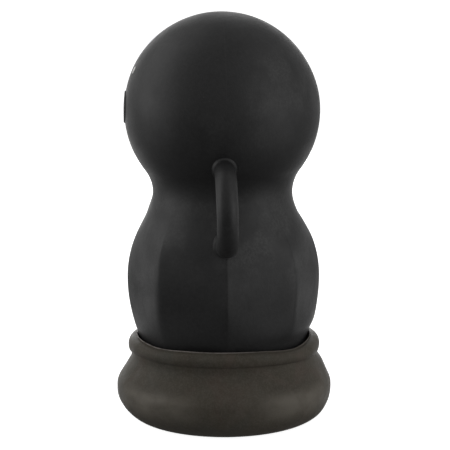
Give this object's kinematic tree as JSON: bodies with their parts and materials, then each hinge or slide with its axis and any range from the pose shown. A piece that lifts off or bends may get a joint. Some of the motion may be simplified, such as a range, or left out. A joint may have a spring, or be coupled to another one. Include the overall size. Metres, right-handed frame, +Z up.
{
  "type": "art figurine",
  "caption": "Black vinyl figure with a ball head, looped arms and a panelled torso that turns in a squat brown pot with a rolled rim.",
  "frame": {"origin": "centre of the pot's underside, on the surface the figure stands on", "axes": "+Z up along the figure's axis and its swivel, the face looks along -Y, the figure's left arm is on +X"},
  "size_m": [0.137, 0.106, 0.2],
  "materials": {
    "black_vinyl": "satin vinyl with a fine grain",
    "disc_vinyl": "satin vinyl",
    "white_paint": "matt paint on vinyl",
    "brown_vinyl": "matt vinyl with a soft hand-modelled surface",
    "black_nylon": "moulded, slightly polished by wear"
  },
  "bodies": {
    "pot": {"base_pot": "brown_vinyl", "base_plate": "brown_vinyl"},
    "figure": {"figure_body": "black_vinyl", "left_arm": "black_vinyl", "right_arm": "black_vinyl", "face_disc": "disc_vinyl", "left_eye": "white_paint", "right_eye": "white_paint", "swivel_plug": "black_nylon", "retaining_clip": "black_nylon"}
  },
  "joints": [
    {"name": "figure_swivel", "type": "hinge", "parent": "pot", "child": "figure", "pos_m": [0, 0, 0.0237], "axis": [0, 0, 1], "continuous": true}
  ]
}
